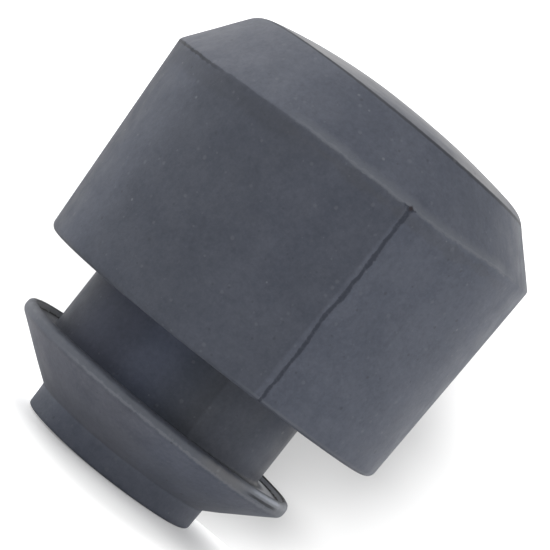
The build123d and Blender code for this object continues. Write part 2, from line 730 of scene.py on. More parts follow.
@dataclass
class Sheet:
    """Thin helper that lays nodes on the tree of a material, a world or a group."""

    tree: bpy.types.NodeTree

    @classmethod
    def blank(cls, owner: bpy.types.Material | bpy.types.World, **known: object) -> "Sheet":
        """An empty sheet on the tree of a material or a world."""
        owner.use_nodes = True
        owner.node_tree.nodes.clear()
        return cls(owner.node_tree, **known)

    def node(self, kind: str, *sources: Feed, **settings: object) -> bpy.types.Node:
        """Adds a node.

        Args:
            kind: the node's type.
            sources: what its first inputs are fed with, in order.
            settings: its plain properties.

        Returns:
            The node.
        """
        made = self.tree.nodes.new(kind)
        for name, value in settings.items():
            setattr(made, name, value)
        for socket, source in zip(made.inputs, sources):
            self.feed(socket, source)
        return made

    def feed(self, target: Socket, source: Feed) -> None:
        """Links a socket, or writes a number or colour, into a target socket."""
        if isinstance(source, bpy.types.NodeSocket):
            self.tree.links.new(source, target)
        elif isinstance(source, tuple):
            target.default_value = (*source, 1.0) if len(target.default_value) == 4 else source
        else:
            target.default_value = source

    def math(self, operation: str, *terms: Feed) -> Socket:
        """One Math node: operation on the terms."""
        return self.node("ShaderNodeMath", *terms, operation=operation).outputs[0]

    def vector(self, operation: str, *terms: Feed) -> Socket:
        """One Vector Math node: operation on the terms, which gives a vector or a number."""
        made = self.node("ShaderNodeVectorMath", *terms, operation=operation)
        return made.outputs["Value" if operation in GIVES_NUMBER else "Vector"]

    def span(self, value: Feed, low: float, high: float, to_low: float = 0.0, to_high: float = 1.0) -> Socket:
        """Smooth step of a value from one span to another."""
        terms = (value, low, high, to_low, to_high)
        return self.node("ShaderNodeMapRange", *terms, interpolation_type="SMOOTHSTEP").outputs[0]

    def blend(self, share: Feed, under: Feed, over: Feed, mode: str = "MIX") -> Socket:
        """Mixes two colours by a share."""
        made = self.node("ShaderNodeMix", share, data_type="RGBA", blend_type=mode)
        self.feed(made.inputs[6], under)
        self.feed(made.inputs[7], over)
        return made.outputs[2]

    def noise(self, vector: Feed, scale: Feed, detail: float = 3.0, rough: float = 0.5) -> Socket:
        """Fractal noise value about 0.5; scale is per metre."""
        made = self.node("ShaderNodeTexNoise", vector)
        for name, source in (("Scale", scale), ("Detail", detail), ("Roughness", rough)):
            self.feed(made.inputs[name], source)
        return made.outputs["Fac"]

    def swing(self, vector: Feed, scale: float, detail: float, height: float, rest: float = 0.0) -> Socket:
        """Noise that swings by half a height to both sides of a rest value."""
        noise = self.noise(vector, scale, detail)
        return self.math("MULTIPLY_ADD", noise, height, rest - 0.5 * height)

    def mask(self, effect: "Effect", vector: Feed, **numbers: Feed) -> Socket:
        """Places an effect's group and feeds its inputs.

        Args:
            effect: the effect.
            vector: the place that it works on.
            numbers: its other inputs by name.

        Returns:
            The group's mask.
        """
        made = self.node("ShaderNodeGroup", node_tree=effect.tree())
        self.feed(made.inputs["Vector"], vector)
        for name, source in numbers.items():
            self.feed(made.inputs[name.capitalize()], source)
        return made.outputs["Mask"]

    def show(self, surface: Socket, output: str = "ShaderNodeOutputMaterial") -> None:
        """Shows a shader through the tree's output."""
        self.node(output, surface)


@dataclass(frozen=True)
class Effect:
    """A shared effect: a node group, built once, that makes a mask of a place and named numbers."""

    name: str
    numbers: tuple[str, ...]

    def tree(self) -> bpy.types.NodeTree:
        """The group's tree, made at its first use."""
        known = bpy.data.node_groups.get(self.name)
        if known:
            return known
        tree = bpy.data.node_groups.new(self.name, "ShaderNodeTree")
        tree.interface.new_socket(name="Vector", in_out="INPUT", socket_type="NodeSocketVector")
        for number in self.numbers:
            tree.interface.new_socket(name=number, in_out="INPUT", socket_type="NodeSocketFloat")
        tree.interface.new_socket(name="Mask", in_out="OUTPUT", socket_type="NodeSocketFloat")
        sheet = Sheet(tree)
        entry = sheet.node("NodeGroupInput").outputs
        sheet.node("NodeGroupOutput", self.lay(sheet, entry))
        return tree

    def lay(self, sheet: Sheet, entry: bpy.types.NodeOutputs) -> Socket:
        """Lays the group's nodes and returns the mask."""
        raise NotImplementedError


@dataclass(frozen=True)
class Band(Effect):
    """A band along an edge: 1 at its middle, ragged at its borders, gone past its width.

    The distance to the middle is shifted by noise, divided by the width and
    turned into a mask by a smooth step.
    """

    name: str = "edge_band"
    numbers: tuple[str, ...] = ("Distance", "Width", "Ragged", "Grain")

    def lay(self, sheet: Sheet, entry: bpy.types.NodeOutputs) -> Socket:
        """Lays the group's nodes and returns the mask."""
        noise = sheet.noise(entry["Vector"], entry["Grain"], 3.0, 0.6)
        shift = sheet.math("MULTIPLY", sheet.math("SUBTRACT", noise, 0.5), entry["Ragged"])
        away = sheet.math("ADD", sheet.math("ABSOLUTE", entry["Distance"]), shift)
        return sheet.span(sheet.math("DIVIDE", away, entry["Width"]), 1.0, 0.35)


@dataclass(frozen=True)
class Cloud(Effect):
    """Soft patches: smooth steps of two noises of different size, mixed 7 to 3."""

    name: str = "cloud"
    numbers: tuple[str, ...] = ("Patch", "Speckle")

    def lay(self, sheet: Sheet, entry: bpy.types.NodeOutputs) -> Socket:
        """Lays the group's nodes and returns the mask."""
        patch = sheet.span(sheet.noise(entry["Vector"], entry["Patch"], 4.0, 0.55), 0.32, 0.68)
        speckle = sheet.span(sheet.noise(entry["Vector"], entry["Speckle"], 2.0, 0.6), 0.3, 0.7)
        return sheet.math("MULTIPLY_ADD", patch, 0.7, sheet.math("MULTIPLY", speckle, 0.3))


@dataclass(frozen=True)
class Specks(Effect):
    """Scattered dots: cells of a Voronoi pattern, of which a share hold one dot of ragged size."""

    name: str = "specks"
    numbers: tuple[str, ...] = ("Cells", "Share", "Size")

    def lay(self, sheet: Sheet, entry: bpy.types.NodeOutputs) -> Socket:
        """Lays the group's nodes and returns the mask."""
        cells = sheet.node("ShaderNodeTexVoronoi", entry["Vector"])
        sheet.feed(cells.inputs["Scale"], entry["Cells"])
        chance = sheet.node("ShaderNodeSeparateColor", cells.outputs["Color"]).outputs
        chosen = sheet.math("LESS_THAN", chance[0], entry["Share"])
        size = sheet.math("MULTIPLY", entry["Size"], sheet.math("ADD", chance[1], 0.3))
        dot = sheet.span(sheet.math("DIVIDE", cells.outputs["Distance"], size), 1.0, 0.4)
        return sheet.math("MULTIPLY", chosen, dot)


# ---------------------------------------------------------------- finishes


@dataclass(frozen=True)
class Sector:
    """Part of the way round the head's axis, in degrees.

    Attributes:
        azimuth: its middle.
        half: half its width.
        soft: half the width of its borders.
    """

    azimuth: float
    half: float
    soft: float


@dataclass(frozen=True)
class Streak:
    """A ragged band of colour along one corner of the profile.

    Attributes:
        mark: the corner.
        past: how far past the corner its middle lies, mm.
        width: half its width, mm.
        ragged: how far its borders wander, mm.
        grain: scale of the wander's noise, per metre.
        colour: its colour.
        share: how much of the rubber's colour it covers.
        sector: where it lies, or None for all the way round.
    """

    mark: Mark
    past: float
    width: float
    ragged: float
    grain: float
    colour: Colour
    share: float
    sector: Sector | None = None


@dataclass(frozen=True)
class SmudgeAndPaintedLight:
    """A patch between two profile corners whose colour a tint multiplies; some stand for painted light."""

    between: tuple[Mark, Mark]
    sector: Sector
    tint: Colour


@dataclass(frozen=True)
class Dots:
    """Scattered dots: cells per metre, the share of them that hold one, its size in cells, its strength."""

    cells: float
    share: float
    size: float
    strength: float


# Bloom's colour; also painted light on the lip's edge and in the recess.
BLOOM_AND_PAINTED_LIGHT = (0.180, 0.188, 0.205)
# Colour of rim wear, and of painted highlights on the lip.
SILVER = (0.235, 0.248, 0.275)
PALE_WARM_GREY = (0.205, 0.200, 0.196)
# Colour of a painted highlight on the lip's crest.
CREST_HIGHLIGHT = (0.520, 0.560, 0.640)
# Colour of painted light in the shaded recess.
PAINTED_RECESS_LIGHT = (0.760, 0.770, 0.790)
WARM_DIRT = (0.085, 0.082, 0.076)
# Colour of painted shade, and of the soot specks.
SHADE_AND_SOOT = (0.045, 0.047, 0.055)
# Colour of painted shade in folds and under edges.
PAINTED_FOLD_SHADE = (0.030, 0.031, 0.037)

BEVEL = (Mark.RIM, Mark.CROWN_EDGE)
SIDE = (Mark.HEAD_CORNER, Mark.RIM)
NECK = (Mark.NECK_FOOT, Mark.NECK_TOP)
SKIRT = (Mark.NOSE_ROOT, Mark.LIP_EDGE)
NOSE = (Mark.NOSE_END, Mark.NOSE_ROOT)

FRONT = Sector(-70.0, 38.0, 8.0)
LIP_RIGHT = Sector(-24.0, 22.0, 12.0)

STREAKS = (
    # Painted shade under the rim's left part: a wide soft band, then a dark ragged line just below the rim.
    Streak(Mark.RIM, -0.9, 1.0, 0.8, 900.0, SHADE_AND_SOOT, 0.26, Sector(-138.0, 34.0, 14.0)),
    Streak(Mark.RIM, -0.14, 0.16, 0.32, 2600.0, PAINTED_FOLD_SHADE, 0.9, Sector(-172.0, 32.0, 10.0)),
    Streak(Mark.RIM, -0.7, 0.5, 2.0, 380.0, WARM_DIRT, 0.16, FRONT),
    Streak(Mark.RIM, 0.3, 0.6, 0.6, 1200.0, BLOOM_AND_PAINTED_LIGHT, 0.2, FRONT),
    Streak(Mark.RIM, 0.2, 0.34, 0.5, 2600.0, BLOOM_AND_PAINTED_LIGHT, 0.2, FRONT),
    Streak(Mark.RIM, 0.1, 0.16, 0.5, 2600.0, SILVER, 0.2, FRONT),
    # Painted shade: a dark line along the head's lower corner on its left.
    Streak(Mark.HEAD_CORNER, -0.1, 0.2, 0.2, 1500.0, PAINTED_FOLD_SHADE, 0.6, Sector(-160.0, 34.0, 12.0)),
    Streak(Mark.HEAD_CORNER, 0.1, 0.16, 0.3, 1500.0, BLOOM_AND_PAINTED_LIGHT, 0.3, Sector(-40.0, 36.0, 10.0)),
    # Painted shade in the fold where the neck meets the recess floor.
    Streak(Mark.NECK_FOOT, 0.0, 0.24, 0.15, 1500.0, PAINTED_FOLD_SHADE, 0.85),
    Streak(Mark.NOSE_ROOT, 0.4, 0.5, 0.3, 1500.0, BLOOM_AND_PAINTED_LIGHT, 0.2),
    Streak(Mark.NOSE_ROOT, 1.5, 1.9, 0.8, 600.0, BLOOM_AND_PAINTED_LIGHT, 0.2),
    # Painted highlight: a light line along the lip's lower edge, all round and stronger in front.
    Streak(Mark.LIP_EDGE, 0.3, 0.45, 0.4, 1500.0, BLOOM_AND_PAINTED_LIGHT, 0.38),
    Streak(Mark.LIP_EDGE, 0.1, 0.14, 0.5, 2800.0, SILVER, 0.35, Sector(-75.0, 50.0, 12.0)),
    # Painted shade on the lip's top rounding in front.
    Streak(Mark.LIP_TOP, 0.1, 0.34, 0.3, 1500.0, SHADE_AND_SOOT, 0.35, Sector(-95.0, 50.0, 14.0)),
    # Painted highlight on the lip's crest at its right end.
    Streak(Mark.LIP_TOP, 0.05, 0.5, 0.2, 1500.0, SILVER, 0.85, LIP_RIGHT),
    # A lighter warm-grey patch on the lip's front.
    Streak(Mark.LIP_EDGE, 0.45, 0.5, 0.3, 1800.0, PALE_WARM_GREY, 0.4, Sector(-58.0, 9.0, 5.0)),
    # Painted highlight on the lip's crest in front, and a line of painted shade just below it.
    Streak(Mark.LIP_TOP, 0.0, 0.22, 0.2, 1800.0, CREST_HIGHLIGHT, 0.5, Sector(-31.0, 9.0, 5.0)),
    Streak(Mark.LIP_TOP, -0.4, 0.12, 0.1, 1500.0, PAINTED_FOLD_SHADE, 0.95, Sector(-34.0, 9.0, 4.0)),
    Streak(Mark.LIP_TOP, 0.05, 0.5, 0.4, 1500.0, BLOOM_AND_PAINTED_LIGHT, 0.5, Sector(180.0, 34.0, 12.0)),
    # Painted light in the recess, which otherwise lies in shade: its floor and wall at the right and the
    # left.
    Streak(Mark.RECESS_FOOT, 0.8, 0.8, 0.3, 2200.0, PAINTED_RECESS_LIGHT, 0.85, Sector(4.0, 42.0, 12.0)),
    Streak(Mark.RECESS_FOOT, -0.2, 0.24, 0.2, 2600.0, PAINTED_RECESS_LIGHT, 0.85, Sector(24.0, 34.0, 12.0)),
    Streak(Mark.RECESS_FOOT, -0.25, 0.25, 0.3, 2600.0, PAINTED_RECESS_LIGHT, 0.5, Sector(164.0, 26.0, 12.0)),
    Streak(Mark.RECESS_FOOT, 0.3, 1.2, 0.5, 2200.0, BLOOM_AND_PAINTED_LIGHT, 0.8, Sector(170.0, 34.0, 12.0)),
    # Painted shade in the recess: along the foot of its wall, and along the wall's top edge.
    Streak(Mark.RECESS_FOOT, 0.0, 0.07, 0.3, 2000.0, PAINTED_FOLD_SHADE, 1.0),
    Streak(Mark.LIP_INNER, 0.02, 0.13, 0.16, 2600.0, PAINTED_FOLD_SHADE, 0.9, Sector(-10.0, 110.0, 10.0)),
    Streak(Mark.LIP_INNER, 0.0, 0.1, 0.3, 2600.0, PAINTED_FOLD_SHADE, 0.5, Sector(170.0, 50.0, 10.0)),
)

SMUDGES_AND_PAINTED_LIGHT = (
    # Painted light: the bevel's lighter left end.
    SmudgeAndPaintedLight(BEVEL, Sector(-170.0, 46.0, 24.0), (1.38, 1.34, 1.26)),
    SmudgeAndPaintedLight(BEVEL, Sector(-103.0, 9.0, 8.0), (0.92, 0.92, 0.93)),
    # Painted light: the bevel's lighter right end.
    SmudgeAndPaintedLight(BEVEL, Sector(0.0, 20.0, 12.0), (1.32, 1.3, 1.22)),
    SmudgeAndPaintedLight(SIDE, Sector(180.0, 20.0, 6.0), (0.86, 0.86, 0.86)),
    SmudgeAndPaintedLight(SIDE, Sector(-150.0, 8.0, 6.0), (1.08, 1.08, 1.08)),
    SmudgeAndPaintedLight(SIDE, Sector(-121.0, 17.0, 10.0), (0.91, 0.91, 0.9)),
    SmudgeAndPaintedLight(NECK, Sector(-118.0, 30.0, 10.0), (0.95, 0.98, 1.06)),
    SmudgeAndPaintedLight(NECK, Sector(-139.0, 20.0, 11.0), (0.8, 0.78, 0.8)),
    SmudgeAndPaintedLight(NECK, Sector(-104.0, 8.0, 6.0), (1.12, 1.12, 1.14)),
    SmudgeAndPaintedLight(NECK, Sector(-83.0, 12.0, 9.0), (0.89, 0.89, 0.87)),
    SmudgeAndPaintedLight(NECK, Sector(-61.0, 12.0, 12.0), (1.0, 0.975, 0.94)),
    SmudgeAndPaintedLight(NECK, Sector(0.0, 22.0, 10.0), (0.68, 0.68, 0.7)),
    SmudgeAndPaintedLight(SKIRT, Sector(-125.0, 36.0, 12.0), (1.02, 0.98, 0.93)),
    SmudgeAndPaintedLight(SKIRT, Sector(-24.0, 16.0, 12.0), (1.08, 1.06, 1.03)),
    SmudgeAndPaintedLight(SKIRT, Sector(-162.0, 14.0, 10.0), (1.24, 1.21, 1.16)),
    SmudgeAndPaintedLight(NOSE, Sector(-158.0, 18.0, 8.0), (1.25, 1.25, 1.2)),
)


@dataclass
class SkinSheet(Sheet):
    """Sheet of the rubber's material, with masks by the profile's corners and round the head's axis.

    Attributes:
        marks: distance along the profile of each corner, mm.
        axis_x: where the head's axis stands, mm.
        place: object coordinates.
        along: distance along the profile, mm.
    """

    marks: np.ndarray
    axis_x: float
    place: Socket = field(init=False)
    along: Socket = field(init=False)

    def __post_init__(self) -> None:
        """Lays the coordinates that every mask starts from."""
        self.place = self.node("ShaderNodeTexCoord").outputs["Object"]
        self.along = self.attribute("along")

    def attribute(self, name: str) -> Socket:
        """One of the piece's own values."""
        return self.node("ShaderNodeAttribute", attribute_name=name).outputs["Fac"]

    def past(self, mark: Mark) -> Socket:
        """Distance along the profile past one of its corners, mm."""
        return self.math("SUBTRACT", self.along, float(self.marks[mark]))

    def right(self) -> Socket:
        """Distance to the right of the head's axis, mm."""
        split = self.node("ShaderNodeSeparateXYZ", self.place)
        return self.math("MULTIPLY_ADD", split.outputs[0], 1.0 / MM, -self.axis_x)

    def between(self, marks: tuple[Mark, Mark], soft: float) -> Socket:
        """Mask of the profile between two corners, with borders that reach that far to both sides, mm."""
        start = self.span(self.past(marks[0]), -soft, soft)
        return self.math("MULTIPLY", start, self.span(self.past(marks[1]), soft, -soft))

    def around(self, sector: Sector) -> Socket:
        """Mask of a sector round the head's axis.

        The direction from the axis to the point, times the sector's middle
        direction, is the cosine of the angle between them, and a smooth step
        cuts it at the sector's border.

        Args:
            sector: the sector.
        """
        flat = self.vector("MULTIPLY_ADD", self.place, (1.0, 1.0, 0.0), (-self.axis_x * MM, 0.0, 0.0))
        angle = math.radians(sector.azimuth)
        middle = (math.cos(angle), math.sin(angle), 0.0)
        cosine = self.vector("DOT_PRODUCT", self.vector("NORMALIZE", flat), middle)
        outer = math.cos(math.radians(min(sector.half + sector.soft, 180.0)))
        inner = math.cos(math.radians(max(sector.half - sector.soft, 0.0)))
        return self.span(cosine, outer, inner)

    def dots(self, dots: Dots) -> Socket:
        """Mask of scattered dots."""
        mask = self.mask(Specks(), self.place, cells=dots.cells, share=dots.share, size=dots.size)
        return self.math("MULTIPLY", mask, dots.strength)


@dataclass(frozen=True)
class MouldedRubber:
    """Matt slate-grey moulded rubber with bloom, dust, wear and dirt, and painted light and shade.

    Places are in metres, other lengths in millimetres and noise scales per metre.
    The fields named ragged and fraying hold the scale and the height of a border's noise.

    Attributes:
        marks: distance along the profile of each corner.
        seam_azimuth: azimuth of the front mould line, degrees.
        axis_x: where the head's axis stands.
        scab_place: where the dark scab sits, at the top of the front mould line.
        dim_place: middle of the crown's dimmer part, where its painted sheen is least.
        sheen_in: distance from it over which the painted sheen sets in, and its shares before and after.
        sheen_out: the same for where it thins again.
        parting: where the tone changes across the mould's parting plane.
        parting_gain: how much paler head and neck are past it.
        painted_light_gains: painted light and shade, how much paler bevel and crown, neck, skirt and nose
            are.
        grains: noise scale and strength of each layer of grain in the tone.
        bloom_share: how much bloom there is all over.
        crown_bloom: how much the bloom adds to the crown's painted sheen.
        scab_size: distance from its middle at which the scab ends and at which it is full.
        roughness: how matt the skin is, from its glossiest to its mattest.
        patches: noise scale of its matter and glossier patches.
        crown_foot: how far below the crown's edge its foot line of painted shade runs.
        crown_slide: how much lower it runs for each mm to the right.
        relief: depth of the relief.
        mould_grain: noise scale of its finest grain.
        pebbling: noise scale of its coarser pebbling, and its height beside the grain's.
    """

    marks: np.ndarray
    seam_azimuth: float
    axis_x: float
    scab_place: Point
    slate: Colour = (0.068, 0.075, 0.097)
    slate_pale: Colour = (0.086, 0.093, 0.117)
    crown_sheen: Colour = (0.420, 0.415, 0.420)
    seam_dirt: Colour = (0.042, 0.046, 0.062)
    scab: Colour = (0.034, 0.027, 0.031)
    speck: Colour = (0.240, 0.250, 0.270)
    dim_place: Point = (0.0009, -0.0112, 0.0310)
    sheen_ragged: Stretch = (240.0, 5.0)
    sheen_in: tuple[float, ...] = (0.0, 8.0, 0.09, 0.62)
    sheen_out: tuple[float, ...] = (7.5, 14.0, 1.0, 0.3)
    parting: Stretch = (-0.05, 0.25)
    parting_gain: float = 0.27
    painted_light_gains: tuple[float, ...] = (0.14, -0.1, 0.58, 0.22)
    grains: tuple[Stretch, ...] = ((6500.0, 0.24), (2600.0, 0.32), (700.0, 0.16))
    bloom_share: float = 0.06
    crown_bloom: float = 0.22
    fraying: Stretch = (5200.0, 1.7)
    scab_ragged: Stretch = (4000.0, 0.2)
    scab_size: Stretch = (0.38, 0.16)
    dust: Dots = Dots(520.0, 0.9, 0.07, 0.36)
    fluff: Dots = Dots(1700.0, 0.34, 0.27, 0.14)
    soot: Dots = Dots(1000.0, 0.9, 0.13, 0.36)
    pits: Dots = Dots(1300.0, 0.12, 0.1, 1.2)
    roughness: Stretch = (0.45, 0.57)
    patches: float = 700.0
    crown_foot: float = 0.2
    crown_slide: float = 0.045
    relief: float = 0.012
    mould_grain: float = 9000.0
    pebbling: Stretch = (1900.0, 1.6)

    def material(self) -> bpy.types.Material:
        """Builds the material.

        Returns:
            A material on object coordinates and the piece's own attributes.
        """
        made = bpy.data.materials.new("moulded_rubber")
        sheet = SkinSheet.blank(made, marks=self.marks, axis_x=self.axis_x)
        colour = self._edge_wear_and_painted_light(sheet, self._ground(sheet))
        colour = self._speckled(sheet, self._seams(sheet, colour))
        shader = sheet.node("ShaderNodeBsdfPrincipled")
        patch = sheet.noise(sheet.place, self.patches)
        sheet.feed(shader.inputs["Base Color"], colour)
        sheet.feed(shader.inputs["Roughness"], sheet.span(patch, 0.3, 0.7, *self.roughness))
        sheet.feed(shader.inputs["IOR"], 1.5)
        sheet.feed(shader.inputs["Specular IOR Level"], 0.2)
        sheet.feed(shader.inputs["Specular Tint"], (0.85, 0.92, 1.0))
        sheet.feed(shader.inputs["Normal"], self._bumps(sheet))
        sheet.show(shader.outputs[0])
        return made

    def _crown_past(self, sheet: SkinSheet) -> Socket:
        """Distance past the crown's foot, which runs lower towards the right, mm."""
        moved = sheet.math("MULTIPLY_ADD", sheet.right(), self.crown_slide, self.crown_foot)
        return sheet.math("ADD", sheet.past(Mark.CROWN_EDGE), moved)

    def _gain(self, sheet: SkinSheet) -> Socket:
        """How much paler than slate the rubber is.

        It is paler past the mould's parting plane, and it has a fine grain. It is also paler
        on the bevel and crown, the skirt and the nose, and darker on the neck: painted light and shade.
        """
        normal = math.radians(self.seam_azimuth + 90.0)
        across = sheet.vector("DOT_PRODUCT", sheet.place, (math.cos(normal), math.sin(normal), 0.0))
        half = sheet.span(across, self.parting[0] * MM, self.parting[1] * MM)
        head = sheet.between(SIDE, soft=0.03)
        neck = sheet.between(NECK, soft=0.1)
        skirt = sheet.between(SKIRT, soft=0.5)
        nose = sheet.span(sheet.past(Mark.NOSE_ROOT), 0.5, -0.5)
        above = sheet.span(sheet.past(Mark.RIM), -0.02, 0.05)
        gain = sheet.math("MULTIPLY", half, sheet.math("MAXIMUM", head, neck))
        gain = sheet.math("MULTIPLY_ADD", gain, self.parting_gain, 1.0)
        # Painted light and shade: paler bevel and crown, skirt and nose, a darker neck.
        for where, more in zip((above, neck, skirt, nose), self.painted_light_gains):
            gain = sheet.math("MULTIPLY_ADD", where, more, gain)
        for scale, depth in self.grains:
            gain = sheet.math("MULTIPLY", gain, sheet.swing(sheet.place, scale, 2.0, depth, 1.0))
        return gain

    def _ground(self, sheet: SkinSheet) -> Socket:
        """Base colour: mottled slate, its bloom, tint patches (some painted light) and the crown's painted
        sheen.
        """
        mottle = sheet.mask(Cloud(), sheet.place, patch=420.0, speckle=3000.0)
        scaled = sheet.node(
            "ShaderNodeVectorMath", sheet.blend(mottle, self.slate, self.slate_pale), operation="SCALE"
        )
        sheet.feed(scaled.inputs["Scale"], self._gain(sheet))
        bloom = sheet.mask(Cloud(), sheet.place, patch=120.0, speckle=1400.0)
        colour = sheet.blend(sheet.math("MULTIPLY", bloom, self.bloom_share), scaled.outputs[0], BLOOM_AND_PAINTED_LIGHT)
        for tone_patch in SMUDGES_AND_PAINTED_LIGHT:
            stretch = sheet.between(tone_patch.between, soft=0.06)
            where = sheet.math("MULTIPLY", stretch, sheet.around(tone_patch.sector))
            colour = sheet.blend(where, colour, tone_patch.tint, "MULTIPLY")
        # The crown's painted sheen: dim about a middle in front, lighter round it, mottled by the bloom.
        away = sheet.math("DIVIDE", sheet.vector("DISTANCE", sheet.place, self.dim_place), MM)
        scale, height = self.sheen_ragged
        away = sheet.math("ADD", away, sheet.swing(sheet.place, scale, 3.0, height))
        sheen_sides = sheet.math("MULTIPLY", sheet.span(away, *self.sheen_in), sheet.span(away, *self.sheen_out))
        sheen = sheet.math("MULTIPLY_ADD", bloom, self.crown_bloom, sheen_sides)
        crown = sheet.span(self._crown_past(sheet), 0.0, 0.15)
        return sheet.blend(sheet.math("MULTIPLY", crown, sheen), colour, self.crown_sheen)

    def _edge_wear_and_painted_light(self, sheet: SkinSheet, colour: Socket) -> Socket:
        """Wear and dirt at edges, and painted light and shade: the crown's painted foot shade, then the
        streaks.
        """
        # Painted shade: a dark ragged line at the crown's foot.
        foot = sheet.mask(
            Band(), sheet.place, distance=self._crown_past(sheet), width=0.2, ragged=0.14, grain=2200.0
        )
        colour = sheet.blend(sheet.math("MULTIPLY", foot, 0.9), colour, SHADE_AND_SOOT)
        for streak in STREAKS:
            away = sheet.math("SUBTRACT", sheet.past(streak.mark), streak.past)
            shape = {"width": streak.width, "ragged": streak.ragged, "grain": streak.grain}
            band = sheet.mask(Band(), sheet.place, distance=away, **shape)
            strength = sheet.math("MULTIPLY", band, streak.share)
            if streak.sector:
                strength = sheet.math("MULTIPLY", strength, sheet.around(streak.sector))
            colour = sheet.blend(strength, colour, streak.colour)
        return colour

    def _seams(self, sheet: SkinSheet, colour: Socket) -> Socket:
        """Dirt with frayed borders in the mould lines, and the scab at the top of the front one."""
        seam = sheet.attribute("seam")
        scale, height = self.fraying
        frayed = sheet.swing(sheet.place, scale, 3.0, height)
        dirt = sheet.math("ADD", seam, sheet.math("MULTIPLY", frayed, sheet.span(seam, 0.0, 0.25)))
        colour = sheet.blend(sheet.span(dirt, 0.1, 1.0, 0.0, 0.9), colour, self.seam_dirt)
        scale, height = self.scab_ragged
        away = sheet.vector("DISTANCE", sheet.place, self.scab_place)
        away = sheet.math("MULTIPLY_ADD", sheet.noise(sheet.place, scale, 2.0), height * MM, away)
        scab = sheet.span(away, self.scab_size[0] * MM, self.scab_size[1] * MM)
        return sheet.blend(scab, colour, self.scab)

    def _speckled(self, sheet: SkinSheet, colour: Socket) -> Socket:
        """Light specks of dust and fluff, then dark ones of soot."""
        light = sheet.math("MAXIMUM", sheet.dots(self.dust), sheet.dots(self.fluff))
        colour = sheet.blend(light, colour, self.speck)
        return sheet.blend(sheet.dots(self.soot), colour, SHADE_AND_SOOT)

    def _bumps(self, sheet: SkinSheet) -> Socket:
        """Bump: fine grain of the mould, coarser pebbling and a few pits."""
        grain = sheet.noise(sheet.place, self.mould_grain, 3.0, 0.6)
        scale, tall = self.pebbling
        height = sheet.math("MULTIPLY_ADD", sheet.noise(sheet.place, scale, 2.0), tall, grain)
        height = sheet.math("SUBTRACT", height, sheet.dots(self.pits))
        bump = sheet.node("ShaderNodeBump")
        sheet.feed(bump.inputs["Strength"], 0.5)
        sheet.feed(bump.inputs["Distance"], self.relief * MM)
        sheet.feed(bump.inputs["Height"], height)
        return bump.outputs[0]


@dataclass(frozen=True)
class PaperWhite:
    """White stage surface: seen directly it is white with the object's shadow on it.

    The camera sees glow + tone x the light that falls on it, which passes 1 where
    nothing shades it, so that the surface has no visible end.

    Attributes:
        name: the material's name.
        glow: plain white that is added for the camera.
        tone: how much of the light that falls on it the camera sees.
        phantom: whether light passes through it, so that only its front shows shadows.
        middle: the middle of the shaded patch.
        reach: how far the patch reaches along each axis, metres; past it the surface is plain white.
        full: share of the reach within which the shadow is full.
        paper: how much light a surface that isn't a phantom throws back on the object.
    """

    name: str
    glow: float
    tone: float
    phantom: bool
    middle: Point
    reach: Point
    full: float = 0.35
    paper: float = 0.9

    def material(self) -> bpy.types.Material:
        """Builds the material."""
        made = bpy.data.materials.new(self.name)
        sheet = Sheet.blank(made)
        away = sheet.vector("SUBTRACT", sheet.node("ShaderNodeTexCoord").outputs["Object"], self.middle)
        distance = sheet.vector("LENGTH", sheet.vector("DIVIDE", away, self.reach))
        white = sheet.node("ShaderNodeEmission")
        sheet.feed(white.inputs["Strength"], sheet.span(distance, self.full, 1.0, self.glow, 1.0))
        seen = sheet.node("ShaderNodeAddShader", white.outputs[0], self._matt(sheet, self.tone))
        shown = sheet.node("ShaderNodeLightPath").outputs["Is Camera Ray"]
        if self.phantom:
            back = sheet.node("ShaderNodeNewGeometry").outputs["Backfacing"]
            shown = sheet.math("MULTIPLY", shown, sheet.math("SUBTRACT", 1.0, back))
            other = sheet.node("ShaderNodeBsdfTransparent").outputs[0]
        else:
            other = self._matt(sheet, self.paper)
        sheet.show(sheet.node("ShaderNodeMixShader", shown, other, seen.outputs[0]).outputs[0])
        return made

    @staticmethod
    def _matt(sheet: Sheet, grey: float) -> Socket:
        """A plain matt shader."""
        return sheet.node("ShaderNodeBsdfDiffuse", (grey, grey, grey)).outputs[0]


# ---------------------------------------------------------------- stage, light, camera


def hung(name: str, data: bpy.types.Light, way: Vector) -> bpy.types.Object:
    """Makes a lamp that shines from the direction way."""
    lamp = put(name, data)
    lamp.rotation_mode = "QUATERNION"
    lamp.rotation_quaternion = way.to_track_quat("Z", "Y")
    return lamp


@dataclass(frozen=True)
class Lamp:
    """A square soft lamp.

    Attributes:
        name: its name.
        towards: direction from the object to the lamp.
        share: its part of the plain light level.
        distance: metres from the object.
        size: side of the square, metres.
    """

    name: str
    towards: Point
    share: float
    distance: float = 0.5
    size: float = 0.4

    def hang(self, target: Vector) -> None:
        """Hangs the lamp, with the power that lights a facing white surface to its share.

        That power is share x pi^2 x distance^2.

        Args:
            target: the point that it shines on.
        """
        data = bpy.data.lights.new(self.name, "AREA")
        data.shape = "SQUARE"
        data.size = self.size
        data.energy = self.share * math.pi**2 * self.distance**2
        way = Vector(self.towards).normalized()
        hung(self.name, data, way).location = target + way * self.distance


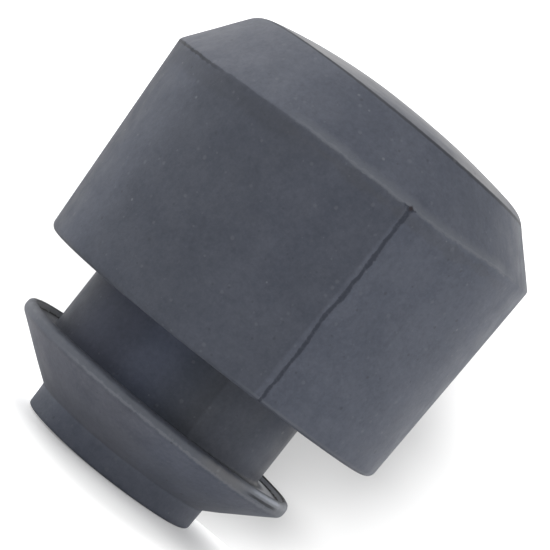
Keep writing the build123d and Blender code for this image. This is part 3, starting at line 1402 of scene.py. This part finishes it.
@dataclass(frozen=True)
class Studio:
    """Pale floor, the white board that the object leans its side to, soft lamps and white air.

    Lengths are in metres and angles in degrees. The board's reach is its height and
    half its width. Air and board_light are shares of the plain light level.
    """

    floor_radius: float = 2.0
    floor_sides: int = 96
    floor_paper: PaperWhite = PaperWhite(
        "floor_paper", 0.21, 0.79, False, (0.0018, -0.0066, 0.0), (0.0138, 0.027, 1.0)
    )
    board_azimuth: float = 70.0
    board_reach: float = 0.16
    board_gap: float = 0.0001
    board_paper: PaperWhite = PaperWhite(
        "board_paper", 0.475, 0.25, True, (0.010, 0.010, 0.0092), (0.06, 0.06, 0.0142)
    )
    air: float = 0.70
    lamps: tuple[Lamp, ...] = (
        Lamp("top_lamp", (-0.45, -0.05, 1.0), 0.31),
        Lamp("left_lamp", (-1.0, 0.02, 0.15), 0.22),
        Lamp("right_lamp", (1.0, 0.1, 0.15), 0.13),
        Lamp("back_left_lamp", (-0.8, 0.8, 0.35), 0.08),
        Lamp("back_right_lamp", (0.8, 0.8, 0.35), 0.18),
    )
    board_light_from: Point = (-0.28, -0.93, 0.15)
    board_light_spread: float = 34.0
    board_light: float = 2.6

    def floor(self) -> None:
        """Lays a round floor at the lowest point of the object."""
        angle = np.linspace(0.0, 2.0 * math.pi, self.floor_sides, endpoint=False)
        across = self.floor_radius * np.column_stack((np.cos(angle), np.sin(angle)))
        circle = np.column_stack((across, np.full_like(angle, CAD_BOX[0].z)))
        self._stage("floor", circle, self.floor_paper)

    def board(self, damper: Damper) -> None:
        """Stands a white board beside the object, touching its rim and its lip at one azimuth.

        The board's plane passes through both touching points; its height runs
        along the line between them and its width across that line, level.

        Args:
            damper: the object.
        """
        plug, head = damper.plug, damper.head
        azimuth = math.radians(self.board_azimuth)
        outward = np.array([math.cos(azimuth), math.sin(azimuth), 0.0])
        level = np.array([-outward[1], outward[0], 0.0])
        upright = np.array([0.0, 0.0, 1.0])
        rim = (outward * head.rim_radius + upright * (plug.neck_top + head.side_height)) * MM
        rim[0] += head.offset * MM
        lip = (outward * plug.lip_radius + upright * plug.lip_top) * MM
        climb = (rim - lip) / np.linalg.norm(rim - lip)
        low = lip - climb * (lip[2] / climb[2]) + outward * self.board_gap
        side = level * self.board_reach
        high = low + climb * self.board_reach
        corners = np.array([low - side, high - side, high + side, low + side])
        self._board_lamp(self._stage("board", corners, self.board_paper))

    def _board_lamp(self, board: bpy.types.Object) -> None:
        """Hangs a soft far lamp that lights the board alone, so that the object's shadow falls on it."""
        data = bpy.data.lights.new("board_lamp", "SUN")
        data.angle = math.radians(self.board_light_spread)
        data.energy = self.board_light * math.pi
        lit = bpy.data.collections.new("lit_by_board_lamp")
        lit.objects.link(board)
        lamp = hung("board_lamp", data, Vector(self.board_light_from))
        lamp.light_linking.receiver_collection = lit

    def _stage(self, name: str, outline: np.ndarray, paper: PaperWhite) -> bpy.types.Object:
        """Makes a flat stage surface.

        Args:
            name: its name.
            outline: its corners in order.
            paper: what it is made of.

        Returns:
            The surface.
        """
        mesh = bpy.data.meshes.new(name)
        mesh.from_pydata(outline.tolist(), [], [list(range(len(outline)))])
        mesh.materials.append(paper.material())
        surface = put(name, mesh)
        return surface

    def light(self) -> None:
        """White air round the object, plain white to the camera, and the lamps."""
        world = bpy.data.worlds.new("white_air")
        sheet = Sheet.blank(world)
        rays = sheet.node("ShaderNodeLightPath").outputs["Is Camera Ray"]
        strength = sheet.math("MULTIPLY_ADD", rays, 1.0 - self.air, self.air)
        air = sheet.node("ShaderNodeBackground", (1.0, 1.0, 1.0), strength)
        sheet.show(air.outputs[0], "ShaderNodeOutputWorld")
        bpy.context.scene.world = world
        middle = (CAD_BOX[0] + CAD_BOX[1]) / 2.0
        for lamp in self.lamps:
            lamp.hang(middle)


@dataclass(frozen=True)
class Viewpoint:
    """Camera beside the object, rolled so that the object leans to the right.

    Stand, aim, lens and sensor are in millimetres, roll in degrees, clip in metres.
    """

    stand: Point = (0.6, -180.0, 19.5)
    aim: Point = (0.884, 0.0, 17.749)
    roll: float = 38.36
    lens: float = 168.72
    sensor: float = 36.0
    clip: Stretch = (0.01, 10.0)

    def place(self) -> None:
        """Puts the camera up and makes it the scene's camera."""
        data = bpy.data.cameras.new("camera")
        data.lens = self.lens
        data.sensor_width = self.sensor
        data.clip_start, data.clip_end = self.clip
        camera = put("camera", data)
        stand, aim = Vector(self.stand) * MM, Vector(self.aim) * MM
        turn = (aim - stand).to_track_quat("-Z", "Y").to_matrix().to_4x4()
        rolled = Matrix.Rotation(math.radians(self.roll), 4, "Z")
        camera.matrix_world = Matrix.Translation(stand) @ turn @ rolled
        bpy.context.scene.camera = camera


def main() -> None:
    """Builds the damper, its stage, light and camera."""
    logging.basicConfig(level=logging.INFO, format="%(name)s: %(message)s")
    bpy.context.scene.view_settings.view_transform = "Standard"
    damper = Damper()
    piece = damper.build()
    damper.dress(piece)
    log.info("%s: %d vertices, %d faces", piece.name, len(piece.data.vertices), len(piece.data.polygons))
    studio = Studio()
    studio.floor()
    studio.board(damper)
    studio.light()
    Viewpoint().place()


if __name__ == "__main__":
    main()
